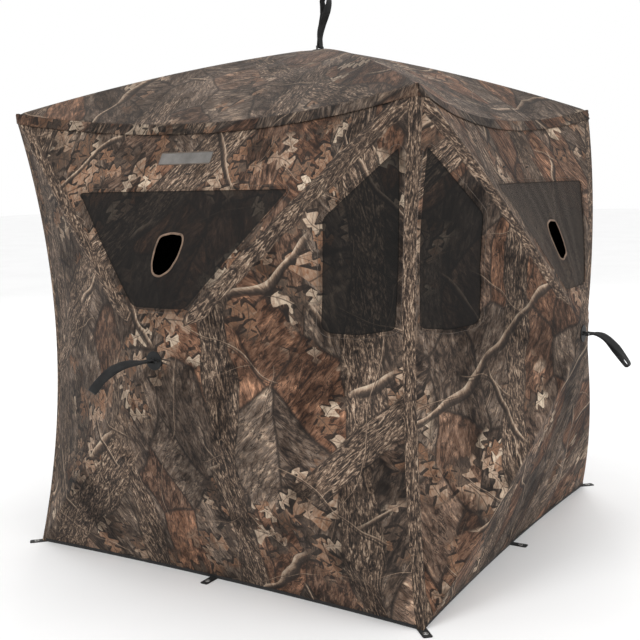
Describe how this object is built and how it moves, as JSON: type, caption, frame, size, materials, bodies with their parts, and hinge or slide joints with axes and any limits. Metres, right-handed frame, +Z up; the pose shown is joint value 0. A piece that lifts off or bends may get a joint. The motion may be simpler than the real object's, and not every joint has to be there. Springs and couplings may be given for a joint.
{
  "type": "pop up ground blind",
  "caption": "Square hub-framed pop up hide with camouflage fabric walls and roof, mesh windows, a zipped door, pull straps and stake tabs.",
  "frame": {"origin": "centre of the square footprint, on the ground", "axes": "+Z up, the front wall faces -Y and the right wall faces +X"},
  "size_m": [2.1358, 2.1358, 1.8023],
  "materials": {
    "camo_fabric": "matt woven polyester with a printed bark and leaf pattern",
    "window_mesh": "fine black shoot-through mesh",
    "black_lining": "matt black coated polyester",
    "grey_stitching": "grey embroidered patch",
    "black_webbing": "black woven webbing",
    "zip_tape": "black coil zip on tape",
    "zip_metal": "black painted zip slider",
    "moulded_plastic": "black moulded nylon, slightly satin",
    "steel": "zinc plated steel",
    "fibreglass": "smooth pultruded fibreglass rod with moulded ends"
  },
  "bodies": {
    "shell": {"front_wall": "camo_fabric", "right_wall": "camo_fabric", "back_wall": "camo_fabric", "left_wall": "camo_fabric", "roof_panel": "camo_fabric", "front_window_mesh": "window_mesh", "right_window_mesh": "window_mesh", "back_window_mesh": "window_mesh", "left_window_mesh": "window_mesh", "front_corner_mesh": "window_mesh", "right_corner_mesh": "window_mesh", "left_corner_mesh": "window_mesh", "window_cover_rolls": "black_lining", "blank_patch": "grey_stitching", "ground_hem": "black_webbing", "stake_tabs": "black_webbing", "corner_sockets": "moulded_plastic"},
    "door_facet": {"door_zip_track": "zip_tape"},
    "door": {"door": "camo_fabric"},
    "zip_slider": {"zip_slider": "zip_metal"},
    "front_hub": {"front_hub_core": "moulded_plastic", "front_hub_washer": "moulded_plastic", "front_hub_fasteners": "steel"},
    "front_pole_top_right": {"front_pole_top_right": "fibreglass"},
    "front_pole_top_left": {"front_pole_top_left": "fibreglass"},
    "front_pole_low_left": {"front_pole_low_left": "fibreglass"},
    "front_pole_low_right": {"front_pole_low_right": "fibreglass"},
    "front_pull_strap": {"front_pull_strap": "black_webbing"},
    "right_hub": {"right_hub_core": "moulded_plastic", "right_hub_washer": "moulded_plastic", "right_hub_fasteners": "steel"},
    "right_pole_top_right": {"right_pole_top_right": "fibreglass"},
    "right_pole_top_left": {"right_pole_top_left": "fibreglass"},
    "right_pole_low_left": {"right_pole_low_left": "fibreglass"},
    "right_pole_low_right": {"right_pole_low_right": "fibreglass"},
    "right_pull_strap": {"right_pull_strap": "black_webbing"},
    "back_hub": {"back_hub_core": "moulded_plastic", "back_hub_washer": "moulded_plastic", "back_hub_fasteners": "steel"},
    "back_pole_top_right": {"back_pole_top_right": "fibreglass"},
    "back_pole_top_left": {"back_pole_top_left": "fibreglass"},
    "back_pole_low_left": {"back_pole_low_left": "fibreglass"},
    "back_pole_low_right": {"back_pole_low_right": "fibreglass"},
    "back_pull_strap": {"back_pull_strap": "black_webbing"},
    "left_hub": {"left_hub_core": "moulded_plastic", "left_hub_washer": "moulded_plastic", "left_hub_fasteners": "steel"},
    "left_pole_top_right": {"left_pole_top_right": "fibreglass"},
    "left_pole_top_left": {"left_pole_top_left": "fibreglass"},
    "left_pole_low_left": {"left_pole_low_left": "fibreglass"},
    "left_pole_low_right": {"left_pole_low_right": "fibreglass"},
    "left_pull_strap": {"left_pull_strap": "black_webbing"},
    "roof_hub": {"roof_hub_core": "moulded_plastic", "roof_hub_washer": "moulded_plastic", "roof_hub_fasteners": "steel"},
    "roof_pole_back_right": {"roof_pole_back_right": "fibreglass"},
    "roof_pole_back_left": {"roof_pole_back_left": "fibreglass"},
    "roof_pole_front_left": {"roof_pole_front_left": "fibreglass"},
    "roof_pole_front_right": {"roof_pole_front_right": "fibreglass"},
    "roof_pull_strap": {"roof_pull_strap": "black_webbing"}
  },
  "joints": [
    {"name": "front_hub_push", "type": "slide", "parent": "shell", "child": "front_hub", "axis": [0, -1, 0], "range_m": [-0.348, 0], "deforming": ["front_wall"]},
    {"name": "front_pole_top_right_hinge", "type": "hinge", "parent": "front_hub", "child": "front_pole_top_right", "pos_m": [0.02404, -0.8885, 0.72404], "axis": [-0.7071, 0, 0.7071], "range_deg": [-22.06, 0.5]},
    {"name": "front_pole_top_left_hinge", "type": "hinge", "parent": "front_hub", "child": "front_pole_top_left", "pos_m": [-0.02404, -0.8885, 0.72404], "axis": [-0.7071, 0, -0.7071], "range_deg": [-22.06, 0.5]},
    {"name": "front_pole_low_left_hinge", "type": "hinge", "parent": "front_hub", "child": "front_pole_low_left", "pos_m": [-0.02404, -0.8885, 0.67596], "axis": [0.7071, 0, -0.7071], "range_deg": [-22.06, 0.5]},
    {"name": "front_pole_low_right_hinge", "type": "hinge", "parent": "front_hub", "child": "front_pole_low_right", "pos_m": [0.02404, -0.8885, 0.67596], "axis": [0.7071, 0, 0.7071], "range_deg": [-22.06, 0.5]},
    {"name": "front_pull_strap_swing", "type": "hinge", "parent": "front_hub", "child": "front_pull_strap", "pos_m": [0, -0.9163, 0.7], "axis": [-1, 0, 0], "range_deg": [-35, 90]},
    {"name": "right_hub_push", "type": "slide", "parent": "shell", "child": "right_hub", "axis": [1, 0, 0], "range_m": [-0.348, 0], "deforming": ["right_wall"]},
    {"name": "right_pole_top_right_hinge", "type": "hinge", "parent": "right_hub", "child": "right_pole_top_right", "pos_m": [0.8885, 0.02404, 0.72404], "axis": [0, -0.7071, 0.7071], "range_deg": [-22.06, 0.5]},
    {"name": "right_pole_top_left_hinge", "type": "hinge", "parent": "right_hub", "child": "right_pole_top_left", "pos_m": [0.8885, -0.02404, 0.72404], "axis": [0, -0.7071, -0.7071], "range_deg": [-22.06, 0.5]},
    {"name": "right_pole_low_left_hinge", "type": "hinge", "parent": "right_hub", "child": "right_pole_low_left", "pos_m": [0.8885, -0.02404, 0.67596], "axis": [0, 0.7071, -0.7071], "range_deg": [-22.06, 0.5]},
    {"name": "right_pole_low_right_hinge", "type": "hinge", "parent": "right_hub", "child": "right_pole_low_right", "pos_m": [0.8885, 0.02404, 0.67596], "axis": [0, 0.7071, 0.7071], "range_deg": [-22.06, 0.5]},
    {"name": "right_pull_strap_swing", "type": "hinge", "parent": "right_hub", "child": "right_pull_strap", "pos_m": [0.9163, 0, 0.7], "axis": [0, -1, 0], "range_deg": [-35, 90]},
    {"name": "back_hub_push", "type": "slide", "parent": "shell", "child": "back_hub", "axis": [0, 1, 0], "range_m": [-0.348, 0], "deforming": ["back_wall"]},
    {"name": "back_pole_top_right_hinge", "type": "hinge", "parent": "back_hub", "child": "back_pole_top_right", "pos_m": [-0.02404, 0.8885, 0.72404], "axis": [0.7071, 0, 0.7071], "range_deg": [-22.06, 0.5]},
    {"name": "back_pole_top_left_hinge", "type": "hinge", "parent": "back_hub", "child": "back_pole_top_left", "pos_m": [0.02404, 0.8885, 0.72404], "axis": [0.7071, 0, -0.7071], "range_deg": [-22.06, 0.5]},
    {"name": "back_pole_low_left_hinge", "type": "hinge", "parent": "back_hub", "child": "back_pole_low_left", "pos_m": [0.02404, 0.8885, 0.67596], "axis": [-0.7071, 0, -0.7071], "range_deg": [-22.06, 0.5]},
    {"name": "back_pole_low_right_hinge", "type": "hinge", "parent": "back_hub", "child": "back_pole_low_right", "pos_m": [-0.02404, 0.8885, 0.67596], "axis": [-0.7071, 0, 0.7071], "range_deg": [-22.06, 0.5]},
    {"name": "back_pull_strap_swing", "type": "hinge", "parent": "back_hub", "child": "back_pull_strap", "pos_m": [0, 0.9163, 0.7], "axis": [1, 0, 0], "range_deg": [-35, 90]},
    {"name": "left_hub_push", "type": "slide", "parent": "shell", "child": "left_hub", "axis": [-1, 0, 0], "range_m": [-0.348, 0], "deforming": ["left_wall"]},
    {"name": "left_pole_top_right_hinge", "type": "hinge", "parent": "left_hub", "child": "left_pole_top_right", "pos_m": [-0.8885, -0.02404, 0.72404], "axis": [0, 0.7071, 0.7071], "range_deg": [-22.06, 0.5]},
    {"name": "left_pole_top_left_hinge", "type": "hinge", "parent": "left_hub", "child": "left_pole_top_left", "pos_m": [-0.8885, 0.02404, 0.72404], "axis": [0, 0.7071, -0.7071], "range_deg": [-22.06, 0.5]},
    {"name": "left_pole_low_left_hinge", "type": "hinge", "parent": "left_hub", "child": "left_pole_low_left", "pos_m": [-0.8885, 0.02404, 0.67596], "axis": [0, -0.7071, -0.7071], "range_deg": [-22.06, 0.5]},
    {"name": "left_pole_low_right_hinge", "type": "hinge", "parent": "left_hub", "child": "left_pole_low_right", "pos_m": [-0.8885, -0.02404, 0.67596], "axis": [0, -0.7071, 0.7071], "range_deg": [-22.06, 0.5]},
    {"name": "left_pull_strap_swing", "type": "hinge", "parent": "left_hub", "child": "left_pull_strap", "pos_m": [-0.9163, 0, 0.7], "axis": [0, 1, 0], "range_deg": [-35, 90]},
    {"name": "roof_hub_push", "type": "slide", "parent": "shell", "child": "roof_hub", "axis": [0, 0, 1], "range_m": [-0.348, 0], "deforming": ["roof_panel"]},
    {"name": "roof_pole_back_right_hinge", "type": "hinge", "parent": "roof_hub", "child": "roof_pole_back_right", "pos_m": [0.02404, 0.02404, 1.5885], "axis": [-0.7071, 0.7071, 0], "range_deg": [-22.06, 0.5]},
    {"name": "roof_pole_back_left_hinge", "type": "hinge", "parent": "roof_hub", "child": "roof_pole_back_left", "pos_m": [-0.02404, 0.02404, 1.5885], "axis": [-0.7071, -0.7071, 0], "range_deg": [-22.06, 0.5]},
    {"name": "roof_pole_front_left_hinge", "type": "hinge", "parent": "roof_hub", "child": "roof_pole_front_left", "pos_m": [-0.02404, -0.02404, 1.5885], "axis": [0.7071, -0.7071, 0], "range_deg": [-22.06, 0.5]},
    {"name": "roof_pole_front_right_hinge", "type": "hinge", "parent": "roof_hub", "child": "roof_pole_front_right", "pos_m": [0.02404, -0.02404, 1.5885], "axis": [0.7071, 0.7071, 0], "range_deg": [-22.06, 0.5]},
    {"name": "roof_pull_strap_swing", "type": "hinge", "parent": "roof_hub", "child": "roof_pull_strap", "pos_m": [0, 0, 1.6163], "axis": [0, 1, 0], "range_deg": [-70, 70]},
    {"name": "door_facet_fold", "type": "hinge", "parent": "shell", "child": "door_facet", "pos_m": [-0.657, 0.714, 0.7], "axis": [0, 0, 1], "range_deg": [-31.2, 0.5]},
    {"name": "door_swing", "type": "hinge", "parent": "door_facet", "child": "door", "pos_m": [-0.597, 0.7, 0.7], "axis": [0, 0, 1], "range_deg": [0, 110]},
    {"name": "door_zip", "type": "slide", "parent": "door_facet", "child": "zip_slider", "axis": [0, 0, 1], "range_m": [0, 0.236]}
  ],
  "couplings": [
    {"joint": "front_pole_top_right_hinge", "follows": "front_hub_push", "rad_per_m": 1.0962},
    {"joint": "front_pole_top_left_hinge", "follows": "front_hub_push", "rad_per_m": 1.0962},
    {"joint": "front_pole_low_left_hinge", "follows": "front_hub_push", "rad_per_m": 1.0962},
    {"joint": "front_pole_low_right_hinge", "follows": "front_hub_push", "rad_per_m": 1.0962},
    {"joint": "right_pole_top_right_hinge", "follows": "right_hub_push", "rad_per_m": 1.0962},
    {"joint": "right_pole_top_left_hinge", "follows": "right_hub_push", "rad_per_m": 1.0962},
    {"joint": "right_pole_low_left_hinge", "follows": "right_hub_push", "rad_per_m": 1.0962},
    {"joint": "right_pole_low_right_hinge", "follows": "right_hub_push", "rad_per_m": 1.0962},
    {"joint": "back_pole_top_right_hinge", "follows": "back_hub_push", "rad_per_m": 1.0962},
    {"joint": "back_pole_top_left_hinge", "follows": "back_hub_push", "rad_per_m": 1.0962},
    {"joint": "back_pole_low_left_hinge", "follows": "back_hub_push", "rad_per_m": 1.0962},
    {"joint": "back_pole_low_right_hinge", "follows": "back_hub_push", "rad_per_m": 1.0962},
    {"joint": "left_pole_top_right_hinge", "follows": "left_hub_push", "rad_per_m": 1.0962},
    {"joint": "left_pole_top_left_hinge", "follows": "left_hub_push", "rad_per_m": 1.0962},
    {"joint": "left_pole_low_left_hinge", "follows": "left_hub_push", "rad_per_m": 1.0962},
    {"joint": "left_pole_low_right_hinge", "follows": "left_hub_push", "rad_per_m": 1.0962},
    {"joint": "roof_pole_back_right_hinge", "follows": "roof_hub_push", "rad_per_m": 1.0962},
    {"joint": "roof_pole_back_left_hinge", "follows": "roof_hub_push", "rad_per_m": 1.0962},
    {"joint": "roof_pole_front_left_hinge", "follows": "roof_hub_push", "rad_per_m": 1.0962},
    {"joint": "roof_pole_front_right_hinge", "follows": "roof_hub_push", "rad_per_m": 1.0962},
    {"joint": "door_facet_fold", "follows": "back_hub_push", "rad_per_m": 1.5489}
  ]
}
